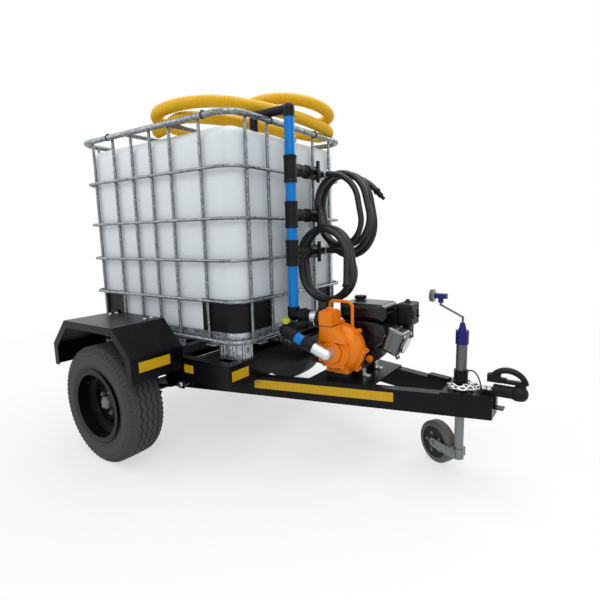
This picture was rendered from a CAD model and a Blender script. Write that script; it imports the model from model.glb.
"""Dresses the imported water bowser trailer: finishes, hoses, tyres, tank and small fittings."""

import logging
import math
from dataclasses import dataclass
from enum import Enum
from typing import Sequence

import bmesh
import bpy
from mathutils import Matrix, Vector


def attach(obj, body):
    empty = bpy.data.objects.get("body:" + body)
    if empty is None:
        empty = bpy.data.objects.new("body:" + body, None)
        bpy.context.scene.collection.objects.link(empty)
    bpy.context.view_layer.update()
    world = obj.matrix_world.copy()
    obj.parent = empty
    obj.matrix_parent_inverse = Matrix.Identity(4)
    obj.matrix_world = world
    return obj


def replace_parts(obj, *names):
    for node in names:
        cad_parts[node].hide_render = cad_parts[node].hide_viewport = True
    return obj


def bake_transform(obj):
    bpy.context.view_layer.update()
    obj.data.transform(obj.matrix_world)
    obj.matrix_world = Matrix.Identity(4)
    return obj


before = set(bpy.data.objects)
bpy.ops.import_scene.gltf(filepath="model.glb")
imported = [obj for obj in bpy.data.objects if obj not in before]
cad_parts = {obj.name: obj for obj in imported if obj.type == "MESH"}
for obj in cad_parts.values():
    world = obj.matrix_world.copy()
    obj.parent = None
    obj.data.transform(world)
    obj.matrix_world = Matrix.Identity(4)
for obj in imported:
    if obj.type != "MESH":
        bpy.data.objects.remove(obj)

LOG = logging.getLogger("bowser")
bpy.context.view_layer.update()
X_MID = 569.0
AXLE_X = -62.0
SHAFT = (930.0, 562.0)
HOSE_TAIL = (755.0, 60.0)
BRANCH_Z = (1033.0, 1217.0, 1431.0)
OUTLET_Z = 660.0
CHASSIS = "chassis"
LEFT, BACK, UP, AHEAD = Vector((0, 1, 0)), Vector((-1, 0, 0)), Vector((0, 0, 1)), Vector((1, 0, 0))
Colour = tuple[float, float, float]
Tree = bpy.types.NodeTree
Node = bpy.types.Node
Socket = bpy.types.NodeSocket
Profile = Sequence[tuple[float, float]]


def at(x: float, y: float, z: float) -> Vector:
    """Gives a point of the trailer in the row frame.

    Args:
        x: millimetres ahead of the tank's centre.
        y: millimetres to the trailer's left.
        z: millimetres above the ground.

    Returns:
        The point in metres.
    """
    return Vector(((x - X_MID) / 1000, y / 1000, z / 1000))


def turns(count: int, start: float = 0.0) -> list[float]:
    """Angles that share a full turn evenly."""
    return [start + 2 * math.pi * k / count for k in range(count)]


def squared(angle: float, power: float) -> tuple[float, float]:
    """Point of a rounded square of half side 1."""
    return tuple(math.copysign(abs(v) ** power, v) for v in (math.cos(angle), math.sin(angle)))


def hand(side: int) -> str:
    """Name of the trailer's side."""
    return "right" if side < 0 else "left"


def paint(red: int, green: int, blue: int) -> Colour:
    """Turns a display colour of 0 to 255 into the linear colour that a shader reads."""
    shares = (v / 255 for v in (red, green, blue))
    return tuple(v / 12.92 if v <= 0.04045 else ((v + 0.055) / 1.055) ** 2.4 for v in shares)


def node(tree: Tree, kind: str, feeds: dict | None = None, **settings) -> Node:
    """Adds a node to a tree.

    Args:
        tree: the tree.
        kind: Blender's name of the node's type.
        feeds: input's name or number, to the socket that feeds it or its fixed value.
        settings: the node's own properties.

    Returns:
        The node.
    """
    made = tree.nodes.new(kind)
    for label, value in settings.items():
        setattr(made, label, value)
    for label, value in (feeds or {}).items():
        if isinstance(value, Socket):
            tree.links.new(value, made.inputs[label])
        else:
            made.inputs[label].default_value = value
    return made


def math_node(tree: Tree, operation: str, *values, clamp: bool = False) -> Socket:
    """Adds a Math node.

    Args:
        tree: the tree.
        operation: Blender's name of the operation.
        values: sockets or numbers for its inputs, in order.
        clamp: whether the result stays between 0 and 1.

    Returns:
        The output socket.
    """
    made = node(tree, "ShaderNodeMath", dict(enumerate(values)), operation=operation, use_clamp=clamp)
    return made.outputs[0]


def new_group(name: str, kind: str, inputs: dict[str, str], outputs: dict[str, str]) -> tuple[Tree, Node, Node]:
    """Makes an empty node group.

    Args:
        name: name of the group.
        kind: Shader or Geometry.
        inputs: names of the inputs and their socket types.
        outputs: names of the outputs and their socket types.

    Returns:
        The tree, its input node and its output node.
    """
    tree = bpy.data.node_groups.new(name, f"{kind}NodeTree")
    for way, sockets in (("INPUT", inputs), ("OUTPUT", outputs)):
        for label, socket in sockets.items():
            tree.interface.new_socket(label, in_out=way, socket_type=f"NodeSocket{socket}")
    return tree, tree.nodes.new("NodeGroupInput"), tree.nodes.new("NodeGroupOutput")


class Pattern(Enum):
    """What a finish shows besides its grain."""

    PLAIN = "plain"
    SPANGLE = "spangle"
    BRUSHED = "brushed"
    MOULDED = "moulded"
    LAMPS = "lamps"
    FOOTED = "footed"


class ShaderKit:
    """The shader node groups that several finishes share."""

    def __init__(self) -> None:
        """Builds each group once."""
        self.grain = self._grain()
        self.dust = self._dust()
        self.scuffs = self._scuffs()

    @staticmethod
    def noise(tree: Tree, place: Socket, scale, detail: float, distortion: float = 0.0) -> Socket:
        """Adds a Noise Texture and returns its value socket."""
        feeds = {"Vector": place, "Scale": scale, "Detail": detail, "Distortion": distortion}
        return node(tree, "ShaderNodeTexNoise", feeds).outputs[0]

    def _grain(self) -> Tree:
        """Fine grain for bump and roughness, and a broad cloud for colour."""
        tree, source, target = new_group("fine_grain", "Shader", {"Coordinate": "Vector", "Scale": "Float"},
                                         {"Fine": "Float", "Broad": "Float"})
        place, scale = source.outputs["Coordinate"], source.outputs["Scale"]
        tree.links.new(self.noise(tree, place, scale, 4.0), target.inputs["Fine"])
        broad = math_node(tree, "ADD", self.noise(tree, place, 5.0, 5.0, 0.4), 0.5)
        tree.links.new(broad, target.inputs["Broad"])
        return tree

    def _dust(self) -> Tree:
        """Road dust that settles on upward faces and near the ground."""
        tree, source, target = new_group(
            "road_dust", "Shader", {"Coordinate": "Vector", "Normal": "Vector", "Amount": "Float"},
            {"Mask": "Float"})
        place = node(tree, "ShaderNodeSeparateXYZ", {0: source.outputs["Coordinate"]})
        facing = node(tree, "ShaderNodeSeparateXYZ", {0: source.outputs["Normal"]})
        up = math_node(tree, "MULTIPLY", facing.outputs["Z"], 0.8, clamp=True)
        low = math_node(tree, "MULTIPLY_ADD", place.outputs["Z"], -1.7, 0.95, clamp=True)
        cloud = self.noise(tree, source.outputs["Coordinate"], 9.0, 8.0, 0.6)
        patch = math_node(tree, "MULTIPLY_ADD", cloud, 2.2, -0.55, clamp=True)
        both = math_node(tree, "MULTIPLY", math_node(tree, "MAXIMUM", up, low), patch)
        mask = math_node(tree, "MULTIPLY", both, source.outputs["Amount"], clamp=True)
        tree.links.new(mask, target.inputs["Mask"])
        return tree

    def _scuffs(self) -> Tree:
        """Thin rubbed marks in broken lines."""
        tree, source, target = new_group(
            "rubbed_marks", "Shader", {"Coordinate": "Vector", "Amount": "Float"}, {"Mask": "Float"})
        place = source.outputs["Coordinate"]
        stretch = node(tree, "ShaderNodeMapping", {"Vector": place, "Scale": (5.0, 34.0, 34.0)})
        lines = self.noise(tree, stretch.outputs[0], 1.6, 9.0, 0.3)
        marks = math_node(tree, "MULTIPLY_ADD", lines, 7.0, -4.5, clamp=True)
        gate = math_node(tree, "MULTIPLY_ADD", self.noise(tree, place, 3.0, 2.0), 4.0, -1.9, clamp=True)
        shown = math_node(tree, "MULTIPLY", marks, gate)
        shown = math_node(tree, "MULTIPLY", shown, source.outputs["Amount"], clamp=True)
        tree.links.new(shown, target.inputs["Mask"])
        return tree


@dataclass(frozen=True)
class Finish:
    """One surface finish of the trailer, the record's material slot that it belongs to, and how it is worn."""

    name: str
    slot: str
    colour: Colour
    rough: float = 0.45
    spread: float = 0.15
    metal: float = 0.0
    shade: float = 0.22
    grain: float = 420.0
    bump: float = 0.08
    dust: float = 0.0
    scuff: float = 0.0
    scuff_colour: Colour = (0.2, 0.2, 0.2)
    dust_colour: Colour = (0.23, 0.19, 0.14)
    coat: float = 0.0
    gloss: float = 0.5
    subsurface: float = 0.0
    pattern: Pattern = Pattern.PLAIN

    def material(self, kit: ShaderKit) -> bpy.types.Material:
        """Gives the finish's material, built on first use.

        Args:
            kit: the shared shader groups.

        Returns:
            The material.
        """
        known = bpy.data.materials.get(self.name)
        return known if known else self._build(kit)

    def _build(self, kit: ShaderKit) -> bpy.types.Material:
        """Builds the node tree of the finish."""
        material = bpy.data.materials.new(self.name)
        material.use_nodes = True
        tree = material.node_tree
        shader = tree.nodes["Principled BSDF"]
        fixed = {"Metallic": self.metal, "Coat Weight": self.coat, "Coat Roughness": 0.12,
                 "Specular IOR Level": self.gloss}
        if self.subsurface:
            fixed |= {"Subsurface Weight": self.subsurface, "Subsurface Radius": (0.03, 0.03, 0.03),
                      "Subsurface Scale": 0.5}
        for label, value in fixed.items():
            shader.inputs[label].default_value = value
        place = tree.nodes.new("ShaderNodeTexCoord").outputs["Object"]
        grain = node(tree, "ShaderNodeGroup", node_tree=kit.grain)
        tree.links.new(place, grain.inputs["Coordinate"])
        grain.inputs["Scale"].default_value = self.grain
        cloud = self._range(tree, grain.outputs["Broad"], 0.03, 1.0)
        colour = self._mix(tree, cloud, self.colour, self._toned(1 - self.shade))
        height = grain.outputs["Fine"]
        rough = self._rough(tree, height)
        if self.pattern is not Pattern.PLAIN:
            colour, rough, height = self._patterned(tree, place, colour, rough, height)
        if self.scuff:
            mark = node(tree, "ShaderNodeGroup", node_tree=kit.scuffs)
            tree.links.new(place, mark.inputs["Coordinate"])
            mark.inputs["Amount"].default_value = self.scuff
            colour = self._mix(tree, mark.outputs["Mask"], colour, self.scuff_colour)
        if self.dust:
            film = node(tree, "ShaderNodeGroup", node_tree=kit.dust)
            tree.links.new(place, film.inputs["Coordinate"])
            tree.links.new(tree.nodes.new("ShaderNodeNewGeometry").outputs["Normal"], film.inputs["Normal"])
            film.inputs["Amount"].default_value = self.dust
            colour = self._mix(tree, film.outputs["Mask"], colour, self.dust_colour)
            rough = node(tree, "ShaderNodeMix", {"Factor": film.outputs["Mask"], 2: rough, 3: 0.9}).outputs[0]
        bump = node(tree, "ShaderNodeBump", {"Strength": self.bump, "Distance": 0.002, "Height": height})
        for socket, label in ((bump.outputs[0], "Normal"), (colour, "Base Color"), (rough, "Roughness")):
            tree.links.new(socket, shader.inputs[label])
        return material

    def _toned(self, share: float) -> Colour:
        """The finish's colour made darker or lighter."""
        return tuple(min(1.0, c * share) for c in self.colour)

    @staticmethod
    def _mix(tree: Tree, mask: Socket, first, second) -> Socket:
        """Mixes two colours by a mask and returns the colour socket."""
        first, second = ((*c, 1.0) if isinstance(c, tuple) else c for c in (first, second))
        return node(tree, "ShaderNodeMix", {0: mask, 6: first, 7: second}, data_type="RGBA").outputs[2]

    @staticmethod
    def _range(tree: Tree, value: Socket, low: float, high: float, start: float = 0.3,
               end: float = 0.7) -> Socket:
        """Stretches the middle of a noise over a range and returns the value socket."""
        feeds = {"Value": value, "From Min": start, "From Max": end, "To Min": max(low, 0.03),
                 "To Max": min(high, 1.0)}
        return node(tree, "ShaderNodeMapRange", feeds).outputs[0]

    def _rough(self, tree: Tree, value: Socket) -> Socket:
        """Spreads the finish's roughness over a noise."""
        return self._range(tree, value, self.rough - self.spread, self.rough + self.spread)

    @staticmethod
    def _below(tree: Tree, place: Socket, axis: int, limit: float) -> Socket:
        """Mask of what lies below a limit on one axis."""
        spot = node(tree, "ShaderNodeSeparateXYZ", {0: place})
        return math_node(tree, "LESS_THAN", spot.outputs[axis], limit)

    def _patterned(self, tree: Tree, place: Socket, colour: Socket, rough: Socket, height: Socket) -> tuple:
        """Adds the finish's own pattern.

        Args:
            tree: the material's tree.
            place: socket of the object coordinates.
            colour: colour socket so far.
            rough: roughness socket so far.
            height: bump height socket so far.

        Returns:
            The colour, roughness and height sockets.
        """
        if self.pattern is Pattern.SPANGLE:
            cells = node(tree, "ShaderNodeTexVoronoi", {"Vector": place, "Scale": 95.0})
            tone = node(tree, "ShaderNodeSeparateColor", {0: cells.outputs["Color"]})
            colour = self._mix(tree, tone.outputs[0], colour, self._toned(1.35))
            rough = self._rough(tree, tone.outputs[1])
        elif self.pattern is Pattern.BRUSHED:
            stretch = node(tree, "ShaderNodeMapping", {"Vector": place, "Scale": (20.0, 20.0, 900.0)})
            height = node(tree, "ShaderNodeTexNoise", {"Vector": stretch.outputs[0], "Scale": 1.0}).outputs[0]
            rough = self._rough(tree, height)
        elif self.pattern is Pattern.LAMPS:
            cells = node(tree, "ShaderNodeTexVoronoi", {"Vector": place, "Scale": 190.0, "Randomness": 0.0},
                         feature="DISTANCE_TO_EDGE")
            height = self._range(tree, cells.outputs[0], 0.0, 1.0, 0.0, 0.12)
            colour = self._mix(tree, height, self._toned(0.72), colour)
            colour = self._mix(tree, self._below(tree, place, 0, -1.1), colour, (0.45, 0.012, 0.01))
        elif self.pattern is Pattern.FOOTED:
            colour = self._mix(tree, self._below(tree, place, 2, 0.447), colour, (0.004, 0.004, 0.005))
        elif self.pattern is Pattern.MOULDED:
            flow = node(tree, "ShaderNodeMapping", {"Vector": place, "Scale": (9.0, 9.0, 1.4)})
            streak = node(tree, "ShaderNodeTexNoise", {"Vector": flow.outputs[0], "Scale": 1.0, "Detail": 3.0})
            mask = self._range(tree, streak.outputs[0], 0.0, 0.5)
            colour = self._mix(tree, mask, colour, self._toned(0.9))
        return colour, rough, height


KIT = ShaderKit()

BLACK_PAINT = Finish("black_chassis_paint", "black_paint", paint(10, 11, 16), 0.3, 0.1, shade=0.3, grain=260,
                     bump=0.05, dust=0.03, scuff=0.3, scuff_colour=(0.016, 0.016, 0.02), coat=0.04, gloss=0.12)
GALVANISED = Finish("galvanised_tube", "galvanised", paint(122, 127, 130), 0.36, 0.12, 0.9, 0.3, 500, 0.05, 0.1,
                    pattern=Pattern.SPANGLE)
PALLET_SHEET = Finish("galvanised_sheet", "galvanised", paint(164, 171, 175), 0.34, 0.12, 0.88, 0.2, 500, 0.05,
                      0.12, pattern=Pattern.SPANGLE)
BOTTLE = Finish("white_bottle_plastic", "bottle_white", paint(222, 229, 231), 0.42, 0.1, shade=0.05, grain=900,
                bump=0.03, dust=0.05, subsurface=0.25, pattern=Pattern.MOULDED)
BLACK_PLASTIC = Finish("black_moulded_plastic", "black_plastic", paint(13, 14, 17), 0.46, 0.14, shade=0.25,
                       grain=1300, bump=0.12, dust=0.03, scuff=0.2, scuff_colour=(0.03, 0.03, 0.034),
                       gloss=0.18)
PIPE_BLUE = Finish("blue_pipe", "pipe_blue", paint(0, 128, 216), 0.34, 0.1, shade=0.16, grain=700, bump=0.04,
                   dust=0.05, scuff=0.3, scuff_colour=(0.02, 0.26, 0.6), coat=0.06, gloss=0.2)
PUMP_ORANGE = Finish("orange_pump_paint", "pump_orange", paint(252, 136, 2), 0.38, 0.12, shade=0.18, grain=330,
                     bump=0.22, dust=0.05, scuff=0.3, scuff_colour=(0.5, 0.18, 0.01), coat=0.1, gloss=0.25,
                     pattern=Pattern.FOOTED)
CAP_BLUE = Finish("dark_blue_plastic", "cap_blue", paint(13, 15, 108), 0.35, 0.1, shade=0.18, grain=900,
                  bump=0.06, coat=0.1, gloss=0.25)
AMBER = Finish("amber_reflector", "amber_plastic", paint(214, 168, 0), 0.32, 0.08, shade=0.08, grain=900,
               bump=0.3, coat=0.12, dust=0.05, gloss=0.25, pattern=Pattern.LAMPS)
TYRE = Finish("tyre_rubber", "tyre_rubber", paint(16, 16, 18), 0.72, 0.12, shade=0.3, grain=700, bump=0.2,
              dust=0.07, dust_colour=(0.09, 0.082, 0.074), gloss=0.08)
HOSE_BLACK = Finish("black_hose_rubber", "hose_black", paint(25, 27, 32), 0.46, 0.12, shade=0.25, grain=1500,
                    bump=0.08, dust=0.04, gloss=0.4)
HOSE_YELLOW = Finish("yellow_hose_plastic", "hose_yellow", paint(240, 188, 2), 0.42, 0.1, shade=0.16, grain=600,
                     bump=0.05, dust=0.04, gloss=0.35)
PLATED = Finish("plated_steel", "plated_steel", paint(176, 179, 181), 0.28, 0.12, 0.95, 0.15, 600, 0.05, 0.06)
ENGINE_BLACK = Finish("engine_black_enamel", "fuel_black", paint(10, 10, 13), 0.28, 0.1, shade=0.2, grain=420,
                      bump=0.05, dust=0.04, coat=0.2, gloss=0.28)
ENGINE_CAST = Finish("dark_casting", "engine_dark", paint(36, 35, 36), 0.5, 0.14, 0.4, 0.3, 260, 0.3, 0.08,
                     gloss=0.4)
MUFFLER_STEEL = Finish("silencer_steel", "muffler_steel", paint(120, 121, 123), 0.26, 0.12, 0.97, 0.3, 300,
                       0.12, 0.06, pattern=Pattern.BRUSHED)
HUB_GREY = Finish("hub_grey", "hub_grey", paint(66, 67, 69), 0.5, 0.14, 0.6, 0.3, 420, 0.14, 0.12)
VALVE_YELLOW = Finish("yellow_green_plastic", "valve_yellow", paint(196, 196, 44), 0.42, 0.1, shade=0.15,
                      grain=900, bump=0.08, dust=0.05)
KNOB_WHITE = Finish("pale_knob_plastic", "knob_grey", paint(206, 208, 208), 0.45, 0.1, shade=0.12, grain=900,
                    bump=0.08)
GREY_RUBBER = Finish("grey_wheel_rubber", "grey_rubber", paint(100, 101, 98), 0.62, 0.12, shade=0.28, grain=600,
                     bump=0.14, dust=0.15)
CABLE_BLACK = Finish("black_cable_sheath", "cable_black", paint(16, 16, 18), 0.4, 0.1, shade=0.2, grain=1500,
                     bump=0.05, gloss=0.35)
CRANK_STEEL = Finish("worn_crank_steel", "plated_steel", paint(108, 110, 113), 0.36, 0.12, 0.85, 0.25, 400,
                     0.06, 0.06)
LEG_STEEL = Finish("zinc_plated_steel", "galvanised", paint(140, 145, 146), 0.4, 0.12, 0.8, 0.25, 500, 0.08,
                   0.15, scuff=0.3, scuff_colour=(0.3, 0.3, 0.3))

NODE_FINISH: dict[Finish, tuple[str, ...]] = {
    BLACK_PAINT: ("platform_frame", "drawbar_right", "drawbar_left", "drawbar_plates", "mudguard_right",
                  "mudguard_left", "leaf_spring_right", "leaf_spring_left", "axle_beam", "rim_right",
                  "rim_left"),
    AMBER: ("reflectors",),
    TYRE: ("tyre_right", "tyre_left"),
    HUB_GREY: ("hub_right", "hub_left"),
    BOTTLE: ("tank_bottle",),
    GALVANISED: ("tank_cage",),
    PALLET_SHEET: ("tank_pallet",),
    BLACK_PLASTIC: ("corner_guards", "filler_lid", "tank_outlet", "pipe_fittings", "branch_valves",
                    "valve_lever_top", "valve_lever_middle", "valve_lever_bottom", "air_filter", "fuel_cap",
                    "recoil_handle", "hose_nozzle", "coupler_body", "coupler_handle"),
    VALVE_YELLOW: ("suction_valve_handle",),
    PIPE_BLUE: ("blue_pipes",),
    PLATED: ("steel_elbows", "crank_shaft", "throttle_lever", "safety_chain"),
    CRANK_STEEL: ("crank_rod", "jockey_tube"),
    PUMP_ORANGE: ("pump_casing", "pump_backplate", "pump_bolts", "pump_handle"),
    ENGINE_CAST: ("impeller", "engine_block"),
    ENGINE_BLACK: ("recoil_cover", "fuel_tank"),
    MUFFLER_STEEL: ("muffler",),
    CAP_BLUE: ("jockey_cap", "crank_fittings"),
    KNOB_WHITE: ("crank_knob",),
    LEG_STEEL: ("jockey_leg", "jockey_fork"),
    GREY_RUBBER: ("jockey_wheel",),
    CABLE_BLACK: ("breakaway_cable",),
    HOSE_BLACK: ("delivery_hose_upper", "delivery_hose_lower"),
    HOSE_YELLOW: ("suction_hose",),
}


class Shape:
    """Collects the faces of one piece."""

    def __init__(self) -> None:
        """Starts empty."""
        self.points: list[Vector] = []
        self.faces: list[tuple[int, ...]] = []

    def skin(self, rings: Sequence[Sequence[Vector]], closed: bool = False, caps: bool = True) -> "Shape":
        """Skins rings of equal count.

        Args:
            rings: the rings, in order.
            closed: whether the last ring meets the first.
            caps: whether the end rings are filled, where they don't meet.

        Returns:
            This shape.
        """
        first, count = len(self.points), len(rings[0])
        for ring in rings:
            self.points.extend(ring)
        for i in range(len(rings) if closed else len(rings) - 1):
            a, b = first + i * count, first + (i + 1) % len(rings) * count
            for k in range(count):
                n = (k + 1) % count
                self.faces.append((a + k, a + n, b + n, b + k))
        if caps and not closed:
            last = first + (len(rings) - 1) * count
            self.faces += [tuple(range(first + count - 1, first - 1, -1)), tuple(range(last, last + count))]
        return self

    def tube(self, path: Sequence[Vector], radius, sides: int = 16, closed: bool = False) -> "Shape":
        """Sweeps a circle along a path.

        Args:
            path: points of the centre line.
            radius: one radius, or one for each point, in millimetres.
            sides: sides of the circle.
            closed: whether the path closes on itself.

        Returns:
            This shape.
        """
        count = len(path)
        radii = radius if isinstance(radius, tuple) else [radius] * count
        tangents = []
        for i in range(count):
            ends = ((i - 1) % count, (i + 1) % count) if closed else (max(i - 1, 0), min(i + 1, count - 1))
            tangents.append((path[ends[1]] - path[ends[0]]).normalized())
        side = tangents[0].orthogonal().normalized()
        rings = []
        for point, along, r in zip(path, tangents, radii):
            side = (side - along * side.dot(along)).normalized()
            other = along.cross(side)
            rings.append([point + r / 1000 * (math.cos(a) * side + math.sin(a) * other) for a in turns(sides)])
        return self.skin(rings, closed)

    def lathe(self, profile: Profile, centre: Vector, axis: Vector, steps: int = 48) -> "Shape":
        """Turns an open profile that starts and ends on the axis, or a closed one that stays off it.

        Args:
            profile: radius and distance along the axis, in millimetres.
            centre: a point on the axis.
            axis: direction of the axis.
            steps: steps of the turn.

        Returns:
            This shape.
        """
        axis = axis.normalized()
        side = axis.orthogonal().normalized()
        other = axis.cross(side)
        rings = [[centre + axis * (d / 1000) + max(r / 1000, 1e-5) * (math.cos(a) * side + math.sin(a) * other)
                  for a in turns(steps)] for r, d in profile]
        on_axis = profile[0][0] < 0.1 and profile[-1][0] < 0.1
        return self.skin(rings, not on_axis)

    def box(self, centre: Vector, size: tuple[float, float, float],
            turn: Matrix = Matrix.Identity(3)) -> "Shape":
        """Adds a box.

        Args:
            centre: its centre.
            size: its full sizes, in millimetres.
            turn: rotation of the box.

        Returns:
            This shape.
        """
        first, (hx, hy, hz) = len(self.points), (v / 2000 for v in size)
        self.points += [centre + turn @ Vector((x, y, z)) for x in (-hx, hx) for y in (-hy, hy)
                        for z in (-hz, hz)]
        for face in ((0, 1, 3, 2), (4, 6, 7, 5), (0, 4, 5, 1), (2, 3, 7, 6), (0, 2, 6, 4), (1, 5, 7, 3)):
            self.faces.append(tuple(first + i for i in face))
        return self

    def prism(self, outline: Sequence[Vector], along: Vector) -> "Shape":
        """Adds the solid between an outline and the same outline moved along a vector."""
        return self.skin([list(outline), [p + along for p in outline]])

    def build(self, name: str, finish: Finish, body: str = CHASSIS, slot: str = "", bevel: float = 0.0,
              angle: float = 35.0) -> bpy.types.Object:
        """Makes the piece.

        Args:
            name: name of the piece.
            finish: its finish.
            body: the body that it rides on.
            slot: the record's material slot, where it isn't the finish's own.
            bevel: width of its rounded edges, in millimetres.
            angle: angle in degrees above which an edge stays sharp.

        Returns:
            The piece's object.
        """
        mesh = bpy.data.meshes.new(name)
        mesh.from_pydata([tuple(p) for p in self.points], [], self.faces)
        shell = bmesh.new()
        shell.from_mesh(mesh)
        bmesh.ops.remove_doubles(shell, verts=shell.verts, dist=1e-6)
        bmesh.ops.recalc_face_normals(shell, faces=shell.faces)
        shell.to_mesh(mesh)
        shell.free()
        piece = put_in(name, mesh, angle)
        if bevel:
            edge = piece.modifiers.new("edges", "BEVEL")
            edge.width, edge.segments, edge.limit_method = bevel / 1000, 3, "ANGLE"
            edge.angle_limit = math.radians(angle)
            edge.harden_normals = True
        return dress(piece, finish, body, slot)


def put_in(name: str, mesh: bpy.types.Mesh, angle: float) -> bpy.types.Object:
    """Puts a mesh in the scene.

    Args:
        name: name of its object.
        mesh: the mesh.
        angle: angle in degrees above which an edge stays sharp.

    Returns:
        The object.
    """
    mesh.shade_smooth()
    mesh.set_sharp_from_angle(angle=math.radians(angle))
    piece = bpy.data.objects.new(name, mesh)
    bpy.context.scene.collection.objects.link(piece)
    return piece


def dress(piece: bpy.types.Object, finish: Finish, body: str, slot: str = "") -> bpy.types.Object:
    """Gives a piece its finish, body and slot.

    Args:
        piece: the piece.
        finish: its finish.
        body: the body that it rides on.
        slot: the record's material slot, where it isn't the finish's own.

    Returns:
        The piece.
    """
    piece.data.materials.clear()
    piece.data.materials.append(finish.material(KIT))
    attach(piece, body)
    slot or finish.slot
    LOG.info("piece %s rides on %s", piece.name, body)
    return piece


class Repeat:
    """Geometry Nodes trees for what repeats, each turned into a plain mesh."""

    def __init__(self) -> None:
        """Builds each tree once."""
        self.heads = self._heads()
        self.links = self._links()
        self.ribs = self._ribs()

    @staticmethod
    def _start(name: str, inputs: dict[str, str]) -> tuple[Tree, Node, Node]:
        """Makes a tree that takes geometry, the given inputs and a finish, and puts out geometry."""
        every = {"Geometry": "Geometry", **inputs, "Finish": "Material"}
        return new_group(name, "Geometry", every, {"Geometry": "Geometry"})

    @staticmethod
    def _end(tree: Tree, geometry: Socket, source: Node, target: Node) -> Tree:
        """Ends a tree in Realize Instances and Set Material."""
        real = node(tree, "GeometryNodeRealizeInstances", {0: geometry})
        coat = node(tree, "GeometryNodeSetMaterial",
                    {"Geometry": real.outputs[0], "Material": source.outputs["Finish"]})
        tree.links.new(coat.outputs[0], target.inputs[0])
        return tree

    @staticmethod
    def _vector(tree: Tree, label: str) -> Socket:
        """Socket of a vector attribute of the points."""
        reader = node(tree, "GeometryNodeInputNamedAttribute", {"Name": label}, data_type="FLOAT_VECTOR")
        return reader.outputs["Attribute"]

    def _heads(self) -> Tree:
        """A head on a washer at each point, along the point's axis attribute."""
        tree, source, target = self._start("fastener_heads", {
            "Sides": "Int", "Radius": "Float", "Height": "Float", "Washer": "Float"})
        given = source.outputs
        joined = tree.nodes.new("GeometryNodeJoinGeometry")
        for sides, radius, share in ((given["Sides"], "Radius", 1.0), (20, "Washer", 0.3)):
            tall = math_node(tree, "MULTIPLY", given["Height"], share)
            head = node(tree, "GeometryNodeMeshCylinder",
                        {"Vertices": sides, "Radius": given[radius], "Depth": tall})
            lift = node(tree, "ShaderNodeCombineXYZ", {"Z": math_node(tree, "MULTIPLY", tall, 0.5)})
            move = node(tree, "GeometryNodeTransform",
                        {"Geometry": head.outputs["Mesh"], "Translation": lift.outputs[0]})
            tree.links.new(move.outputs[0], joined.inputs[0])
        turn = node(tree, "FunctionNodeAlignRotationToVector", {"Vector": self._vector(tree, "axis")}, axis="Z")
        put = node(tree, "GeometryNodeInstanceOnPoints", {
            "Points": given["Geometry"], "Instance": joined.outputs[0], "Rotation": turn.outputs[0]})
        return self._end(tree, put.outputs[0], source, target)

    def _links(self) -> Tree:
        """An oval wire link at each point, long along the side attribute and facing along the axis one."""
        tree, source, target = self._start(
            "chain_links", {"Length": "Float", "Width": "Float", "Wire": "Float"})
        given = source.outputs
        oval = node(tree, "GeometryNodeCurvePrimitiveCircle", {"Resolution": 20, "Radius": 0.5})
        size = node(tree, "ShaderNodeCombineXYZ", {"X": given["Length"], "Y": given["Width"], "Z": 1.0})
        shape = node(tree, "GeometryNodeTransform",
                     {"Geometry": oval.outputs["Curve"], "Scale": size.outputs[0]})
        wire = node(tree, "GeometryNodeCurvePrimitiveCircle", {"Resolution": 8, "Radius": given["Wire"]})
        link = node(tree, "GeometryNodeCurveToMesh",
                    {"Curve": shape.outputs[0], "Profile Curve": wire.outputs["Curve"]})
        turn = node(tree, "FunctionNodeAxesToRotation", {
            "Primary Axis": self._vector(tree, "side"), "Secondary Axis": self._vector(tree, "axis")},
            primary_axis="X", secondary_axis="Z")
        put = node(tree, "GeometryNodeInstanceOnPoints", {
            "Points": given["Geometry"], "Instance": link.outputs[0], "Rotation": turn.outputs[0]})
        return self._end(tree, put.outputs[0], source, target)

    def _ribs(self) -> Tree:
        """A tube along the edge line of a mesh whose radius swells at each rib."""
        tree, source, target = self._start("ribbed_tube", {
            "Radius": "Float", "Depth": "Float", "Ribs": "Float", "Rings": "Int", "Sides": "Int"})
        given = source.outputs
        line = node(tree, "GeometryNodeMeshToCurve", {"Mesh": given["Geometry"]})
        even = node(tree, "GeometryNodeResampleCurve", {"Curve": line.outputs[0], "Count": given["Rings"]})
        share = tree.nodes.new("GeometryNodeSplineParameter").outputs["Factor"]
        angle = math_node(tree, "MULTIPLY", math_node(tree, "MULTIPLY", share, given["Ribs"]), 2 * math.pi)
        drop = math_node(tree, "MULTIPLY_ADD", math_node(tree, "COSINE", angle), 0.5, -0.5)
        radius = math_node(tree, "MULTIPLY_ADD", drop, given["Depth"], given["Radius"])
        ring = node(tree, "GeometryNodeCurvePrimitiveCircle", {"Resolution": given["Sides"], "Radius": 1.0})
        swept = node(tree, "GeometryNodeCurveToMesh", {
            "Fill Caps": True, "Curve": even.outputs[0], "Profile Curve": ring.outputs["Curve"],
            "Scale": radius})
        return self._end(tree, swept.outputs[0], source, target)

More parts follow.
